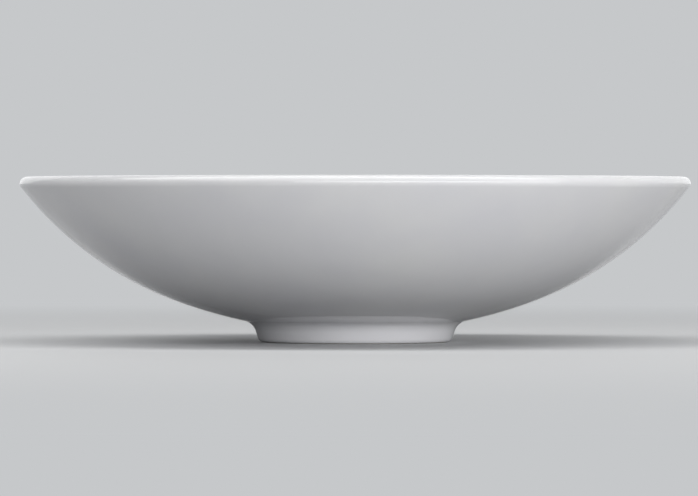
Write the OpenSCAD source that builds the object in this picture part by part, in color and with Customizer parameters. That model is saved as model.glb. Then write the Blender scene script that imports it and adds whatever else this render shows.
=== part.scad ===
// Wide, shallow salad bowl in white glazed porcelain, on a luted foot ring.
// Units are millimetres. +Z is up, and the origin is the middle of the foot, at table level.
// Every piece is turned from one section: the bare clay, and the same outline one coat of glaze further out.

/* [Bowl] */
// Diameter over the lip
rim_d = 280; // [250:1:310]
// Height from the table to the top of the lip
bowl_h = 69; // [62:1:76]
// Thickness of the lip, which is rounded all the way over
lip_t = 5.8; // [4:0.1:7]
// Slope of the wall where it meets the lip, in degrees from level
lip_slope = 52; // [47:0.5:57]

/* [Base] */
// Diameter at which the flatter curve of the base turns into the wall's
base_d = 150; // [130:1:165]
// Diameter of the level middle, from which the base curves up
flat_d = 16; // [8:1:24]
// Height above the table of that level middle, before the well is turned out
base_z = 5; // [4.2:0.1:5.8]
// Thickness where the base turns into the wall, which thins from there to the lip
base_t = 6.5; // [5.6:0.1:7.5]
// Thickness of the floor inside the foot
floor_t = 5.3; // [4.6:0.1:5.6]

/* [Foot] */
// Diameter of the foot's outer side at the table, before its edge is rounded
foot_d = 80.2; // [72:0.2:90]
// Lean of the outer side, in degrees: the foot widens towards the bowl
foot_lean = 18; // [12:1:22]
// Radius of the hollow curve that carries the outer side into the base
foot_cove = 6.5; // [5:0.5:8]
// Radius of the outer edge at the table
foot_edge = 3.2; // [2:0.1:3.6]

/* [Well] */
// Width of the foot at the table, from its outer side to the well, before its edges are rounded
foot_t = 6.7; // [6:0.1:9]
// Lean of the well's side, in degrees: the well narrows upwards
well_lean = 10; // [5:1:15]
// Radius of the hollow curve between the well's side and its ceiling
well_cove = 2; // [1.5:0.1:2.5]
// Radius of the inner edge at the table
well_edge = 1.5; // [1:0.1:1.8]

/* [Making] */
// Height of the foot ring, from the table to its seam
ring_h = 3.4; // [3:0.1:3.8]
// Thickness of the slip that sticks the ring to the bowl
slip_t = 0.4; // [0.3:0.1:0.6]
// Thickness of the fired glaze
glaze_t = 0.3; // [0.2:0.05:0.5]
// Height of the band above the table that is wiped bare of glaze
bare_h = 0.4; // [0.3:0.1:1.2]

/* [Hidden] */

$fa = 1;
$fs = 0.4;

biscuit_colour = [0.93, 0.91, 0.87];
slip_colour = [0.88, 0.86, 0.82];
glaze_colour = [0.96, 0.96, 0.95];

// Points are [distance from the axis, height], and all outlines are measured over the glaze.
function unit(v) = v / norm(v);

// The lip is a full round, which the outside of the wall runs into at the given slope.
lip_r = lip_t / 2;
lip_c = [rim_d / 2 - lip_r, bowl_h - lip_r];
lip_p = lip_c + lip_r * [sin(lip_slope), -cos(lip_slope)];

// The outside is two arcs that share a tangent at the turn: the base, level where it starts, and the wall.
// An arc rises by its reach times the tangent of the mean slope of its two ends. Adding up the rise of
// both arcs leaves a quadratic for the tangent of half the slope at the turn.
flat_r = flat_d / 2;
base_reach = base_d / 2 - flat_r;
wall_reach = lip_p[0] - base_d / 2;
rise = lip_p[1] - base_z;
half_lip = tan(lip_slope / 2);
half_sum = base_reach + wall_reach + rise * half_lip;
half_turn = (half_sum - sqrt(half_sum * half_sum - 4 * base_reach * half_lip * (rise - wall_reach * half_lip)))
    / (2 * base_reach * half_lip);
turn_slope = 2 * atan(half_turn);
turn_p = [base_d / 2, base_z + base_reach * half_turn];
turn_out = [sin(turn_slope), -cos(turn_slope)];

base_r = base_reach / sin(turn_slope);
base_c = [flat_r, base_z + base_r];
wall_r = wall_reach / (sin(lip_slope) - sin(turn_slope));
wall_c = turn_p - wall_r * turn_out;

// The inside is parallel to the base, and its wall is an arc from that turn to the inner side of the lip.
inner_p = turn_p - base_t * turn_out;
inner_to_lip = lip_c - inner_p;
inner_r = (inner_to_lip * inner_to_lip - lip_r * lip_r) / (2 * (lip_r - inner_to_lip * turn_out));
inner_c = inner_p - inner_r * turn_out;

// The floor inside the foot is parallel too, with its underside turned out to a ceiling over the well.
ceiling_r = base_r - base_t + floor_t;
mid_floor_r = ceiling_r - floor_t / 2;

// Each side of the foot is a straight line from a point at the table, with a direction up along it
// and one square to it, out of the clay.
foot_p = [foot_d / 2, 0];
foot_up = [sin(foot_lean), cos(foot_lean)];
foot_out = [cos(foot_lean), -sin(foot_lean)];
well_p = [foot_d / 2 - foot_t, 0];
well_up = [-sin(well_lean), cos(well_lean)];
well_out = [-cos(well_lean), -sin(well_lean)];

// Centre of a hollow curve of radius r, tangent to a side of the foot and to an arc about the base's centre.
function cove_centre(point, up, out, r, arc_r) =
    let (
        start = point + r * out,
        to_start = start - base_c,
        along = to_start * up,
        reach = arc_r + r
    )
    start - (along + sqrt(along * along - to_start * to_start + reach * reach)) * up;

// Centre of a round edge that is tangent to a side of the foot and, under its clay, to the table.
function edge_centre(point, up, out, r) =
    point - r * out + (r - glaze_t + r * out[1]) / up[1] * up;

foot_cove_c = cove_centre(foot_p, foot_up, foot_out, foot_cove, base_r);
foot_edge_c = edge_centre(foot_p, foot_up, foot_out, foot_edge);
well_cove_c = cove_centre(well_p, well_up, well_out, well_cove, ceiling_r);
well_edge_c = edge_centre(well_p, well_up, well_out, well_edge);
standing_mid = (foot_edge_c[0] + well_edge_c[0]) / 2;

// The foot's section runs this far into the floor, so that the two are one clay.
foot_root = floor_t / 2;

// The bowl's clay starts at the top of the slip.
seat_z = ring_h + slip_t;

// A round passes the line or arc that it is tangent to by this much, so that the two cross at a point.
pass = 0.004;

module disc(centre, r) {
    translate(centre)
        circle(r);
}

// Everything above an arc about the base's centre that runs level from below that centre to the axis.
module dish(r) {
    disc(base_c, r);
    translate([0, base_c[1] - r + pass])
        square([flat_r, r]);
}

// Everything on the axis's side of the line on which both arcs of the outside have their centres.
module up_to_turn() {
    polygon([
        [0, base_c[1]],
        base_c,
        base_c + 2 * base_r * turn_out,
        [0, -base_r]
    ]);
}

// Everything inside a base arc up to the turn, and inside a wall arc beyond it.
// The tighter of the two lies within the other, so it stays whole and the other is cut off at the turn.
module two_arcs(near_r, far_c, far_r) {
    if (far_r < near_r) {
        intersection() {
            dish(near_r);
            up_to_turn();
        }
        disc(far_c, far_r + pass);
    } else {
        dish(near_r + pass);
        difference() {
            disc(far_c, far_r);
            up_to_turn();
        }
    }
}

// Everything below the two lines where the wall's arcs meet the round of the lip.
module below_lip() {
    polygon([
        [0, 0],
        [rim_d, 0],
        lip_c + lip_t * unit(lip_c - wall_c),
        lip_c,
        lip_c + lip_t * unit(inner_c - lip_c),
        [0, bowl_h]
    ]);
}

// The space inside the middle of the standing face, from a height up to an arc about the base's centre.
module under_floor(low, r) {
    difference() {
        translate([0, low])
            square([standing_mid, bowl_h - low]);
        dish(r);
    }
}

// Section of the foot, with both of its rounded edges and hollow curves.
module foot_section(skin) {
    inset = glaze_t - skin;
    difference() {
        union() {
            polygon([
                [well_edge_c[0], -skin],
                [foot_edge_c[0], -skin],
                foot_edge_c,
                foot_edge_c + (foot_edge - inset) * foot_out,
                foot_cove_c - (foot_cove + inset) * foot_out,
                foot_cove_c,
                foot_cove_c + (foot_cove + foot_root) * unit(base_c - foot_cove_c),
                well_cove_c + (well_cove + foot_root) * unit(base_c - well_cove_c),
                well_cove_c,
                well_cove_c - (well_cove + inset) * well_out,
                well_edge_c + (well_edge - inset) * well_out,
                well_edge_c
            ]);
            disc(foot_edge_c, foot_edge - inset + pass);
            disc(well_edge_c, well_edge - inset + pass);
        }
        disc(foot_cove_c, foot_cove + inset + pass);
        disc(well_cove_c, well_cove + inset + pass);
    }
}

// Section of the whole bowl with a skin of this thickness over the bare clay.
module section(skin) {
    inset = glaze_t - skin;
    difference() {
        union() {
            difference() {
                intersection() {
                    two_arcs(base_r - inset, wall_c, wall_r - inset);
                    below_lip();
                }
                under_floor(0, ceiling_r - inset);
            }
            foot_section(skin);
        }
        two_arcs(base_r - base_t + inset, inner_c, inner_r + inset);
    }
    disc(lip_c, lip_r - inset + 2 * pass);
}

// Band of the section between two heights.
module band(low, high) {
    translate([0, low])
        square([rim_d, high - low]);
}

// The whole coat of glaze in section, before the standing edge is wiped.
module coat() {
    difference() {
        section(glaze_t);
        section(0);
    }
}

// Porcelain shell: floor, wall and lip, with a low collar under the floor for the foot.
module bowl_body() {
    color(biscuit_colour)
        rotate_extrude()
            intersection() {
                section(0);
                band(seat_z, bowl_h);
            }
}

// Ring that the bowl stands on, bare on its flat standing face.
module foot_ring() {
    color(biscuit_colour)
        rotate_extrude()
            intersection() {
                section(0);
                band(0, ring_h);
            }
}

// Layer of slip between the ring and the bowl's collar, trimmed flush with both.
module luting_slip() {
    color(slip_colour)
        rotate_extrude()
            intersection() {
                section(0);
                band(ring_h, seat_z);
            }
}

// Coat over the inside, the lip, the outside and the foot's outer side.
module main_glaze() {
    color(glaze_colour)
        rotate_extrude()
            difference() {
                coat();
                band(-ring_h, bare_h);
                under_floor(bare_h, mid_floor_r);
            }
}

// Coat on the ceiling and the side of the well.
module well_glaze() {
    color(glaze_colour)
        rotate_extrude()
            intersection() {
                coat();
                under_floor(bare_h, mid_floor_r);
            }
}

bowl_body();
foot_ring();
luting_slip();
main_glaze();
well_glaze();
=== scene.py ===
import bpy
from math import atan, atan2, cos, degrees, pi, radians, sin, sqrt, tan
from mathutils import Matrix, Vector


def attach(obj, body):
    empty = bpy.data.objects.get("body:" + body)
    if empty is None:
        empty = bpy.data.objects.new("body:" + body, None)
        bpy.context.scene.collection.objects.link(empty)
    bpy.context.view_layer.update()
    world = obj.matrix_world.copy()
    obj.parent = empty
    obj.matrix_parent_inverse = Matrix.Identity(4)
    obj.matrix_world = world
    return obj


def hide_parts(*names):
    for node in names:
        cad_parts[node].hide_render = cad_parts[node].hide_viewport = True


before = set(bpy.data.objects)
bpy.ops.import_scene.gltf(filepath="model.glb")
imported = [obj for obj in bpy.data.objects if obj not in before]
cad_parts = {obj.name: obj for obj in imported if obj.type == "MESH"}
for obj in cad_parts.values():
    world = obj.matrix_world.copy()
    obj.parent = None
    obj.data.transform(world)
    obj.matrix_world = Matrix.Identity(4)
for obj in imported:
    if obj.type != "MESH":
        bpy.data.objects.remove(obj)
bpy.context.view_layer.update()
mm = 0.001
print("frame loaded:", ", ".join(sorted(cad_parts)))


# Section of the bowl, worked out from the same sizes as the solids

bowlSizes = {               # millimetres
    "rimDiameter": 280,
    "height": 69,
    "lipThickness": 5.8,
    "baseDiameter": 150,    # where the flatter base turns into the wall
    "flatDiameter": 16,     # level middle of the base
    "baseHeight": 5,
    "baseThickness": 6.5,
    "floorThickness": 5.3,  # over the well
    "footDiameter": 80.2,
    "footCove": 6.5,
    "footEdge": 3.2,
    "footWidth": 6.7,
    "wellCove": 2,
    "wellEdge": 1.5,
    "ringHeight": 3.4,      # of the foot ring, up to its seam
    "glaze": 0.3,           # thickness of the fired coat
    "bareHeight": 0.4,      # wiped clean of glaze above the table
}
bowlAngles = {              # degrees
    "lipSlope": 52,         # of the wall, where it runs into the lip
    "footLean": 18,
    "wellLean": 10,
}


def point(x, z):
    return Vector((x, 0, z))


def bearing(centre, target):
    # angle of target seen from centre, counted from +X towards +Z
    return atan2(target.z - centre.z, target.x - centre.x)


def coveCentre(start, up, out, radius, arcCentre, arcRadius):
    # hollow curve that touches a side of the foot and the base's arc
    first = start + radius * out
    along = (first - arcCentre).dot(up)
    reach = arcRadius + radius
    return first - (along + sqrt(along ** 2 - (first - arcCentre).length_squared + reach ** 2)) * up


def edgeCentre(start, up, out, radius, glaze):
    # rounded edge that touches a side of the foot and, under its clay, the table
    return start - radius * out + (radius - glaze + radius * out.z) / up.z * up


def workOutSection(sizes, angles):
    size = {name: value * mm for name, value in sizes.items()}
    slope, footLean, wellLean = (radians(angles[name]) for name in ("lipSlope", "footLean", "wellLean"))
    flat = size["flatDiameter"] / 2
    lipRadius = size["lipThickness"] / 2
    lip = point(size["rimDiameter"] / 2 - lipRadius, size["height"] - lipRadius)
    lipStart = lip + lipRadius * point(sin(slope), -cos(slope))

    # two arcs with one tangent: the slope at their turn follows from the height they climb
    baseReach = size["baseDiameter"] / 2 - flat
    wallReach = lipStart.x - size["baseDiameter"] / 2
    rise = lipStart.z - size["baseHeight"]
    halfLip = tan(slope / 2)
    halfSum = baseReach + wallReach + rise * halfLip
    halfTurn = (halfSum - sqrt(halfSum ** 2 - 4 * baseReach * halfLip * (rise - wallReach * halfLip))) \
        / (2 * baseReach * halfLip)
    turnSlope = 2 * atan(halfTurn)
    turn = point(size["baseDiameter"] / 2, size["baseHeight"] + baseReach * halfTurn)
    turnOut = point(sin(turnSlope), -cos(turnSlope))
    baseRadius = baseReach / sin(turnSlope)
    base = point(flat, size["baseHeight"] + baseRadius)
    wall = turn - wallReach / (sin(slope) - sin(turnSlope)) * turnOut

    # the inside is parallel to the base, and the wall thins from the turn up to the lip
    innerTurn = turn - size["baseThickness"] * turnOut
    toLip = lip - innerTurn
    innerRadius = (toLip.length_squared - lipRadius ** 2) / (2 * (lipRadius - toLip.dot(turnOut)))
    inner = innerTurn - innerRadius * turnOut

    footStart = point(size["footDiameter"] / 2, 0)
    footUp = point(sin(footLean), cos(footLean))
    footOut = point(cos(footLean), -sin(footLean))
    wellStart = point(size["footDiameter"] / 2 - size["footWidth"], 0)
    wellUp = point(-sin(wellLean), cos(wellLean))
    wellOut = point(-cos(wellLean), -sin(wellLean))
    ceilingRadius = baseRadius - size["baseThickness"] + size["floorThickness"]
    return {
        **size,
        "flat": flat, "lip": lip, "turnSlope": turnSlope,
        "base": base, "wall": wall, "inner": inner, "ceilingRadius": ceilingRadius,
        "footOut": footOut, "wellOut": wellOut,
        "footCoveCentre": coveCentre(footStart, footUp, footOut, size["footCove"], base, baseRadius),
        "footEdgeCentre": edgeCentre(footStart, footUp, footOut, size["footEdge"], size["glaze"]),
        "wellCoveCentre": coveCentre(wellStart, wellUp, wellOut, size["wellCove"], base, ceilingRadius),
        "wellEdgeCentre": edgeCentre(wellStart, wellUp, wellOut, size["wellEdge"], size["glaze"]),
    }


bowl = workOutSection(bowlSizes, bowlAngles)
print("section: the base turns into the wall at %.1f degrees" % degrees(bowl["turnSlope"]))


# Drawing a section with one point that is extruded and spun, then turning it on the wheel

modelling = {
    "startPlane": 10 * mm,      # merged into the point that a section starts from
    "seamGap": 0.002 * mm,      # points nearer than this are one, at the seam and on the axis
    "levelWithin": 0.001 * mm,  # an edge that climbs less than this is level
    "smoothAngle": 40,          # degrees past which an edge stays crisp
}


def startSection(name, first):
    bpy.ops.object.select_all(action="DESELECT")
    bpy.ops.mesh.primitive_plane_add(size=modelling["startPlane"], location=(0, 0, 0))
    piece = bpy.context.object
    piece.name = piece.data.name = name
    bpy.ops.object.mode_set(mode="EDIT")
    bpy.ops.mesh.select_all(action="SELECT")
    bpy.ops.mesh.merge(type="CENTER")
    bpy.ops.transform.translate(value=first)
    return piece


def drawLine(start, end):
    bpy.ops.mesh.extrude_region_move(TRANSFORM_OT_translate={"value": end - start})
    return end


def drawArc(start, centre, endBearing, steps):
    # the short way round from the point where the line now ends
    turn = (endBearing - bearing(centre, start) + pi) % (2 * pi) - pi
    bpy.ops.mesh.spin(steps=steps, angle=turn, center=centre, axis=(0, 1, 0))
    reach = (start - centre).length
    return centre + reach * point(cos(endBearing), sin(endBearing))


def turnOnWheel(piece, steps, place, facing):
    # the face nearest to place ends up turned the way that facing points
    bpy.ops.mesh.select_all(action="SELECT")
    bpy.ops.mesh.spin(steps=steps, angle=2 * pi, center=(0, 0, 0), axis=(0, 0, 1))
    bpy.ops.mesh.select_all(action="SELECT")
    bpy.ops.mesh.remove_doubles(threshold=modelling["seamGap"])
    bpy.ops.mesh.normals_make_consistent(inside=False)
    bpy.ops.object.mode_set(mode="OBJECT")
    nearest = min(piece.data.polygons, key=lambda face: (face.center - place).length)
    if nearest.normal.dot(facing) < 0:
        bpy.ops.object.mode_set(mode="EDIT")
        bpy.ops.mesh.flip_normals()
        bpy.ops.object.mode_set(mode="OBJECT")


def applyModifier(piece, kind, **settings):
    modifier = piece.modifiers.new(kind.title(), kind)
    for key, value in settings.items():
        setattr(modifier, key, value)
    bpy.ops.object.modifier_apply(modifier=modifier.name)


def roundLowEdges(piece, height, look):
    # the cut edges of the coat just above the table, softened as melted glaze is
    bpy.ops.object.mode_set(mode="EDIT")
    bpy.ops.mesh.select_all(action="DESELECT")
    bpy.ops.object.mode_set(mode="OBJECT")
    spots = piece.data.vertices
    for edge in piece.data.edges:
        low, high = sorted(spots[i].co.z for i in edge.vertices)
        edge.select = high < height and high - low < modelling["levelWithin"]
    bpy.ops.object.mode_set(mode="EDIT")
    bpy.ops.mesh.select_mode(type="EDGE")
    bpy.ops.mesh.bevel(offset=look["beadWidth"], segments=look["beadSegments"], affect="EDGES")
    bpy.ops.mesh.select_mode(type="VERT")
    bpy.ops.object.mode_set(mode="OBJECT")


def finishPiece(piece, slotName, *nodes):
    bpy.ops.object.shade_smooth_by_angle(angle=radians(modelling["smoothAngle"]))
    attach(piece, "root")
    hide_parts(*nodes)
    print(piece.name, "faces:", len(piece.data.polygons))


def bareBearing(centre, radius, height):
    # where an edge's round crosses the line that the glaze is wiped to
    return atan2(height - centre.z, sqrt(radius ** 2 - (height - centre.z) ** 2))


# Coat over the inside, the lip, the outside and the foot's outer side

mainGlazeLook = {
    "wheelSteps": 192,
    "floorSteps": 14, "wallSteps": 26, "lipSteps": 24, "baseSteps": 8, "coveSteps": 14, "edgeSteps": 10,
    "beadWidth": 0.08 * mm, "beadSegments": 3,
}


def makeMainGlaze(bowl, look):
    lip, base, inner, wall = bowl["lip"], bowl["base"], bowl["inner"], bowl["wall"]
    cove, edge = bowl["footCoveCentre"], bowl["footEdgeCentre"]
    turnBearing = bowl["turnSlope"] - pi / 2
    sideBearing = bearing(point(0, 0), bowl["footOut"])

    here = point(0, bowl["baseHeight"] + bowl["baseThickness"])
    piece = startSection("mainGlaze", here)
    here = drawLine(here, point(bowl["flat"], here.z))
    here = drawArc(here, base, turnBearing, look["floorSteps"])
    here = drawArc(here, inner, bearing(inner, lip), look["wallSteps"])
    here = drawArc(here, lip, pi / 2, look["lipSteps"] // 2)
    here = drawArc(here, lip, bearing(wall, lip), look["lipSteps"])
    here = drawArc(here, wall, turnBearing, look["wallSteps"])
    here = drawArc(here, base, bearing(base, cove), look["baseSteps"])
    here = drawArc(here, cove, sideBearing + pi, look["coveSteps"])
    here = drawLine(here, edge + bowl["footEdge"] * bowl["footOut"])
    drawArc(here, edge, bareBearing(edge, bowl["footEdge"], bowl["bareHeight"]), look["edgeSteps"])
    turnOnWheel(piece, look["wheelSteps"], point(lip.x, bowl["height"]), point(0, 1))
    applyModifier(piece, "SOLIDIFY", thickness=bowl["glaze"], offset=-1, use_even_offset=True)
    roundLowEdges(piece, bowl["bareHeight"] + bowl["glaze"], look)
    finishPiece(piece, "glaze", "main_glaze")
    return piece


mainGlaze = makeMainGlaze(bowl, mainGlazeLook)


# Coat on the ceiling and the side of the well inside the foot

wellGlazeLook = {
    "wheelSteps": 128,
    "ceilingSteps": 8, "coveSteps": 12, "edgeSteps": 4,
    "beadWidth": 0.08 * mm, "beadSegments": 3,
}


def makeWellGlaze(bowl, look):
    base, cove, edge = bowl["base"], bowl["wellCoveCentre"], bowl["wellEdgeCentre"]
    sideBearing = bearing(point(0, 0), bowl["wellOut"])
    ceiling = point(0, base.z - bowl["ceilingRadius"])

    piece = startSection("wellGlaze", ceiling)
    here = drawLine(ceiling, point(bowl["flat"], ceiling.z))
    here = drawArc(here, base, bearing(base, cove), look["ceilingSteps"])
    here = drawArc(here, cove, sideBearing + pi, look["coveSteps"])
    here = drawLine(here, edge + bowl["wellEdge"] * bowl["wellOut"])
    drawArc(here, edge, pi - bareBearing(edge, bowl["wellEdge"], bowl["bareHeight"]), look["edgeSteps"])
    turnOnWheel(piece, look["wheelSteps"], ceiling, point(0, -1))
    applyModifier(piece, "SOLIDIFY", thickness=bowl["glaze"], offset=-1, use_even_offset=True)
    roundLowEdges(piece, bowl["bareHeight"] + bowl["glaze"], look)
    finishPiece(piece, "glaze", "well_glaze")
    return piece


wellGlaze = makeWellGlaze(bowl, wellGlazeLook)


# Foot ring, bare where it stands

footRingLook = {
    "wheelSteps": 160,
    "outerSteps": 12, "innerSteps": 8,
}


def makeFootRing(bowl, look):
    outer, well = bowl["footEdgeCentre"], bowl["wellEdgeCentre"]
    footOut, wellOut = bowl["footOut"], bowl["wellOut"]
    top = bowl["ringHeight"]

    # the sides run straight from their rounded edges up to the seam, under the glaze
    outerSide = outer + (bowl["footEdge"] - bowl["glaze"]) * footOut
    wellSide = well + (bowl["wellEdge"] - bowl["glaze"]) * wellOut
    outerTop = outerSide + (top - outerSide.z) * point(-footOut.z / footOut.x, 1)
    wellTop = wellSide + (top - wellSide.z) * point(-wellOut.z / wellOut.x, 1)

    piece = startSection("footRing", outerTop)
    here = drawLine(outerTop, outerSide)
    here = drawArc(here, outer, -pi / 2, look["outerSteps"])
    here = drawLine(here, point(well.x, 0))
    here = drawArc(here, well, bearing(point(0, 0), wellOut), look["innerSteps"])
    here = drawLine(here, wellTop)
    drawLine(here, outerTop)
    turnOnWheel(piece, look["wheelSteps"], point((outer.x + well.x) / 2, 0), point(0, -1))
    finishPiece(piece, "biscuit", "foot_ring")
    return piece


footRing = makeFootRing(bowl, footRingLook)


# Materials

mixShare, mixFirst, mixSecond, mixResult = 0, 6, 7, 2   # sockets of a Mix node that mixes colours


def fromHex(colour):
    # sRGB hex to linear
    channels = [int(colour[i:i + 2], 16) / 255 for i in (1, 3, 5)]
    linear = [c / 12.92 if c <= 0.04045 else ((c + 0.055) / 1.055) ** 2.4 for c in channels]
    return (*linear, 1)


def newMaterial(name):
    material = bpy.data.materials.new(name)
    material.use_nodes = True
    return material, material.node_tree.nodes["Principled BSDF"]


def setInputs(owner, node, settings=(), links=()):
    for key, value in dict(settings).items():
        node.inputs[key].default_value = value
    for key, source in dict(links).items():
        owner.node_tree.links.new(source, node.inputs[key])


def addNode(owner, kind, settings=(), links=()):
    # owner is a material or the world, and links go from an input to the output that feeds it
    node = owner.node_tree.nodes.new(kind)
    for key, value in dict(settings).items():
        if key == "ramp":       # place to colour
            for stop, (position, colour) in zip(node.color_ramp.elements, value.items()):
                stop.position, stop.color = position, fromHex(colour)
        elif isinstance(key, int) or key in node.inputs:
            node.inputs[key].default_value = value
        else:
            setattr(node, key, value)
    setInputs(owner, node, links=links)
    return node


def waves(size):
    # noise scale for features of this size in millimetres, on coordinates in metres
    return 1 / (size * mm)


glazeLook = {
    "tones": {0.25: "#E6E6E9", 0.75: "#EDEDED"},    # cool where the coat is thick, white where it is thin
    "cloud": 38,                # millimetres across a change of tone
    "cloudDetail": 2,
    "pool": (12, 4),            # heights between which the coat thickens towards the foot
    "poolShare": 0.35,
    "ripple": 30,               # long soft waves that the melt leaves
    "rippleDetail": 0,
    "rippleDepth": 0.004,
    "peel": 1.8,                # fine orange peel
    "peelDetail": 1,
    "peelDepth": 0.0004,
    "roughness": (0.03, 0.06),
    "glossClouds": (0.3, 0.7),  # values of the cloud noise that go with those two
    "ior": 1.52,
}


def makeGlazeMaterial(look):
    # Clear feldspar glaze, fired glossy over white porcelain: clean reflections that bend a little,
    # and a white that turns slightly cool where the glass has run together
    material, shader = newMaterial("firedPorcelainGlaze")
    place = addNode(material, "ShaderNodeTexCoord").outputs["Object"]
    height = addNode(material, "ShaderNodeSeparateXYZ", {}, {"Vector": place}).outputs["Z"]
    cloud = addNode(material, "ShaderNodeTexNoise",
                    {"Scale": waves(look["cloud"]), "Detail": look["cloudDetail"]},
                    {"Vector": place}).outputs["Fac"]
    thin, thick = look["pool"]
    pool = addNode(material, "ShaderNodeMapRange",
                   {"From Min": thin * mm, "From Max": thick * mm, "To Max": look["poolShare"]},
                   {"Value": height}).outputs["Result"]
    thinness = addNode(material, "ShaderNodeMath", {"operation": "SUBTRACT"},
                       {0: cloud, 1: pool}).outputs["Value"]
    tone = addNode(material, "ShaderNodeValToRGB", {"ramp": look["tones"]},
                   {"Fac": thinness}).outputs["Color"]
    low, high = look["glossClouds"]
    smooth, rough = look["roughness"]
    gloss = addNode(material, "ShaderNodeMapRange",
                    {"From Min": low, "From Max": high, "To Min": smooth, "To Max": rough},
                    {"Value": cloud}).outputs["Result"]
    ripple = addNode(material, "ShaderNodeTexNoise",
                     {"Scale": waves(look["ripple"]), "Detail": look["rippleDetail"]},
                     {"Vector": place}).outputs["Fac"]
    peel = addNode(material, "ShaderNodeTexNoise",
                   {"Scale": waves(look["peel"]), "Detail": look["peelDetail"]},
                   {"Vector": place}).outputs["Fac"]
    soft = addNode(material, "ShaderNodeBump", {"Distance": look["rippleDepth"] * mm},
                   {"Height": ripple}).outputs["Normal"]
    fine = addNode(material, "ShaderNodeBump", {"Distance": look["peelDepth"] * mm},
                   {"Height": peel, "Normal": soft}).outputs["Normal"]
    setInputs(material, shader, {"IOR": look["ior"]},
              {"Base Color": tone, "Roughness": gloss, "Normal": fine})
    return material


biscuitLook = {
    "tones": {0.3: "#E3DFD8", 0.7: "#EFEDE8"},
    "scuff": "#CAC6BF",         # grey from tables, on the standing face only
    "scuffHeight": 0.25,
    "scuffSize": 5,
    "scuffDetail": 6,
    "grain": 0.6,               # real grit is about 0.1 mm, drawn coarser so that it shows
    "grainDetail": 3,
    "grainDepth": 0.02,
    "roughness": 0.82,
}


def makeBiscuitMaterial(name, look):
    # Fired porcelain without glaze: matt, slightly warm, with a fine grit that catches no highlight
    material, shader = newMaterial(name)
    place = addNode(material, "ShaderNodeTexCoord").outputs["Object"]
    height = addNode(material, "ShaderNodeSeparateXYZ", {}, {"Vector": place}).outputs["Z"]
    grain = addNode(material, "ShaderNodeTexNoise",
                    {"Scale": waves(look["grain"]), "Detail": look["grainDetail"]},
                    {"Vector": place}).outputs["Fac"]
    tone = addNode(material, "ShaderNodeValToRGB", {"ramp": look["tones"]}, {"Fac": grain}).outputs["Color"]
    patch = addNode(material, "ShaderNodeTexNoise",
                    {"Scale": waves(look["scuffSize"]), "Detail": look["scuffDetail"]},
                    {"Vector": place}).outputs["Fac"]
    low = addNode(material, "ShaderNodeMapRange", {"From Min": look["scuffHeight"] * mm, "From Max": 0},
                  {"Value": height}).outputs["Result"]
    worn = addNode(material, "ShaderNodeMath", {"operation": "MULTIPLY"},
                   {0: patch, 1: low}).outputs["Value"]
    colour = addNode(material, "ShaderNodeMix", {"data_type": "RGBA", mixSecond: fromHex(look["scuff"])},
                     {mixShare: worn, mixFirst: tone}).outputs[mixResult]
    rough = addNode(material, "ShaderNodeBump", {"Distance": look["grainDepth"] * mm},
                    {"Height": grain}).outputs["Normal"]
    setInputs(material, shader, {"Roughness": look["roughness"]}, {"Base Color": colour, "Normal": rough})
    return material


slipLook = {**biscuitLook, "tones": {0.3: "#D2CABC", 0.7: "#E0D9CC"}, "grain": 0.4}

glaze = makeGlazeMaterial(glazeLook)
biscuit = makeBiscuitMaterial("unglazedPorcelain", biscuitLook)
slip = makeBiscuitMaterial("firedSlip", slipLook)
coats = {mainGlaze: glaze, wellGlaze: glaze, footRing: biscuit,
         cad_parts["bowl_body"]: biscuit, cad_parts["luting_slip"]: slip}
for piece, material in coats.items():
    piece.data.materials.clear()
    piece.data.materials.append(material)
print("materials: glaze, biscuit and slip")


# Floor, which runs out into the pale tone that lies all round

floorLook = {
    "colour": "#D6D7D8",
    "bounce": "#A6A7A9",        # what it gives back to the bowl, so that the wall stays shaded below
    "far": "#C6C8CA",           # even tone that the paper takes on away from the bowl, without more lamps
    "fade": (0.15, 0.95),       # metres from the bowl between which it does
    "width": 24,
    "roughness": 0.6,
    "specular": 0.1,
}


def seenDirectly(owner):
    # 1 for what the camera sees, also in a reflection or through glass, and 0 for light that is passed on
    light = addNode(owner, "ShaderNodeLightPath")
    seen = light.outputs["Is Camera Ray"]
    for other in ("Is Glossy Ray", "Is Transmission Ray"):
        seen = addNode(owner, "ShaderNodeMath", {"operation": "MAXIMUM"},
                       {0: seen, 1: light.outputs[other]}).outputs["Value"]
    return seen


def makeFloor(look):
    bpy.ops.object.select_all(action="DESELECT")
    bpy.ops.mesh.primitive_plane_add(size=look["width"], location=(0, 0, 0))
    floor = bpy.context.object
    floor.name = "paperFloor"

    # Matt background paper: an even pale tone that still takes the bowl's shadow
    material, shader = newMaterial("mattPaper")
    seen = seenDirectly(material)
    bounce, direct = fromHex(look["bounce"]), fromHex(look["colour"])
    colour = addNode(material, "ShaderNodeMix", {"data_type": "RGBA", mixFirst: bounce, mixSecond: direct},
                     {mixShare: seen}).outputs[mixResult]
    setInputs(material, shader, {"Roughness": look["roughness"], "Specular IOR Level": look["specular"]},
              {"Base Color": colour})
    place = addNode(material, "ShaderNodeTexCoord").outputs["Object"]
    away = addNode(material, "ShaderNodeVectorMath", {"operation": "LENGTH"}, {0: place}).outputs["Value"]
    near, distant = look["fade"]
    share = addNode(material, "ShaderNodeMapRange",
                    {"interpolation_type": "SMOOTHSTEP", "From Min": near, "From Max": distant},
                    {"Value": away, "To Max": seen}).outputs["Result"]
    far = addNode(material, "ShaderNodeEmission", {"Color": fromHex(look["far"])}).outputs["Emission"]
    paper = addNode(material, "ShaderNodeMixShader", {}, {0: share, 1: shader.outputs["BSDF"], 2: far})
    output = material.node_tree.nodes["Material Output"]
    setInputs(material, output, {}, {"Surface": paper.outputs["Shader"]})
    floor.data.materials.append(material)


makeFloor(floorLook)
print("floor made")


# Light: a long low panel in front, to the right, a softbox above, weak fills and a large pale wall behind

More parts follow.
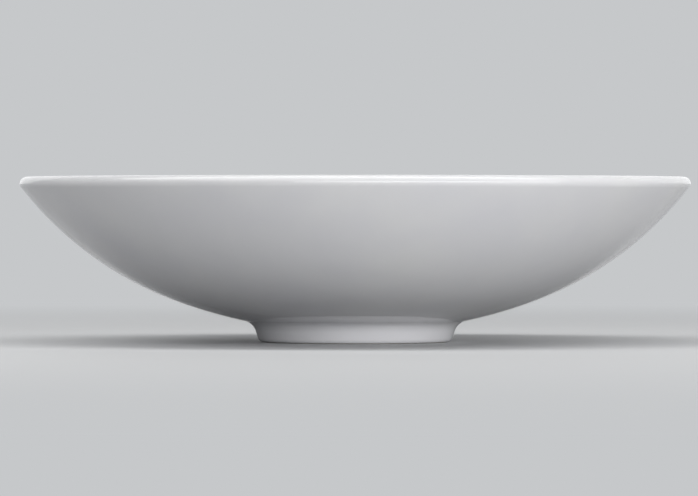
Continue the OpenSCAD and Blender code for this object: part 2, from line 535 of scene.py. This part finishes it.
softboxes = {       # bearings in degrees, lengths in metres, power in watts
    "frontPanel": {"bearing": 26, "distance": 1.75, "height": 0.28, "size": (3.6, 0.52), "power": 28.3},
    "above": {"bearing": -10, "distance": 0.12, "height": 1.2, "size": (3.2, 0.45), "power": 14.5},
    "overhead": {"bearing": -15, "distance": 0.5, "height": 1.1, "size": (1.8, 0.5), "power": 1.5},
    "highLeft": {"bearing": -60, "distance": 1.0, "height": 0.9, "size": (0.8, 0.6), "power": 1.9},
    "backWall": {"bearing": 170, "distance": 2.6, "height": 1.0, "size": (6, 2), "power": 18},
}
aimHeight = 30 * mm
worldLook = {"colour": floorLook["far"], "fill": 0.05}


def makeSoftbox(name, look):
    # bearing counts from the camera's side, to the right
    angle = radians(look["bearing"])
    place = Vector((look["distance"] * sin(angle), -look["distance"] * cos(angle), look["height"]))
    bpy.ops.object.light_add(type="AREA", location=place)
    lamp = bpy.context.object
    lamp.name = name
    lamp.data.shape = "RECTANGLE"
    lamp.data.size, lamp.data.size_y = look["size"]
    lamp.data.energy = look["power"]
    lamp.rotation_euler = (Vector((0, 0, aimHeight)) - place).to_track_quat("-Z", "Y").to_euler()
    lamp.visible_camera = False


for name, look in softboxes.items():
    makeSoftbox(name, look)


def makeWorld(look):
    world = bpy.data.worlds.new("studio")
    bpy.context.scene.world = world
    world.use_nodes = True
    strength = addNode(world, "ShaderNodeMapRange", {"To Min": look["fill"]},
                       {"Value": seenDirectly(world)}).outputs["Result"]
    background = world.node_tree.nodes["Background"]
    setInputs(world, background, {"Color": fromHex(look["colour"])}, {"Strength": strength})


makeWorld(worldLook)
print("lights:", ", ".join(softboxes))


# Camera, nearly level with the rim and far off, as the flat view of the lip shows

cameraLook = {
    "distance": 2.277,          # to the bowl's axis
    "height": 54.9 * mm,
    "pixelsPerMetre": 2392,     # at the axis
    "imageWidth": 698,
    "aimRight": -2.6 * mm,
    "aimDown": 15.6 * mm,
    "clipEnd": 50,
}


def makeCamera(look):
    place = Vector((0, -look["distance"], look["height"]))
    target = Vector((look["aimRight"], 0, look["height"] - look["aimDown"]))
    bpy.ops.object.camera_add(location=place)
    camera = bpy.context.object
    camera.name = "photoCamera"
    camera.data.sensor_fit = "HORIZONTAL"
    focalPixels = look["pixelsPerMetre"] * look["distance"]
    camera.data.lens = camera.data.sensor_width * focalPixels / look["imageWidth"]
    camera.data.clip_end = look["clipEnd"]
    camera.rotation_euler = (target - place).to_track_quat("-Z", "Y").to_euler()
    bpy.context.scene.camera = camera


makeCamera(cameraLook)
bpy.context.scene.view_settings.view_transform = "Standard"
print("camera set")
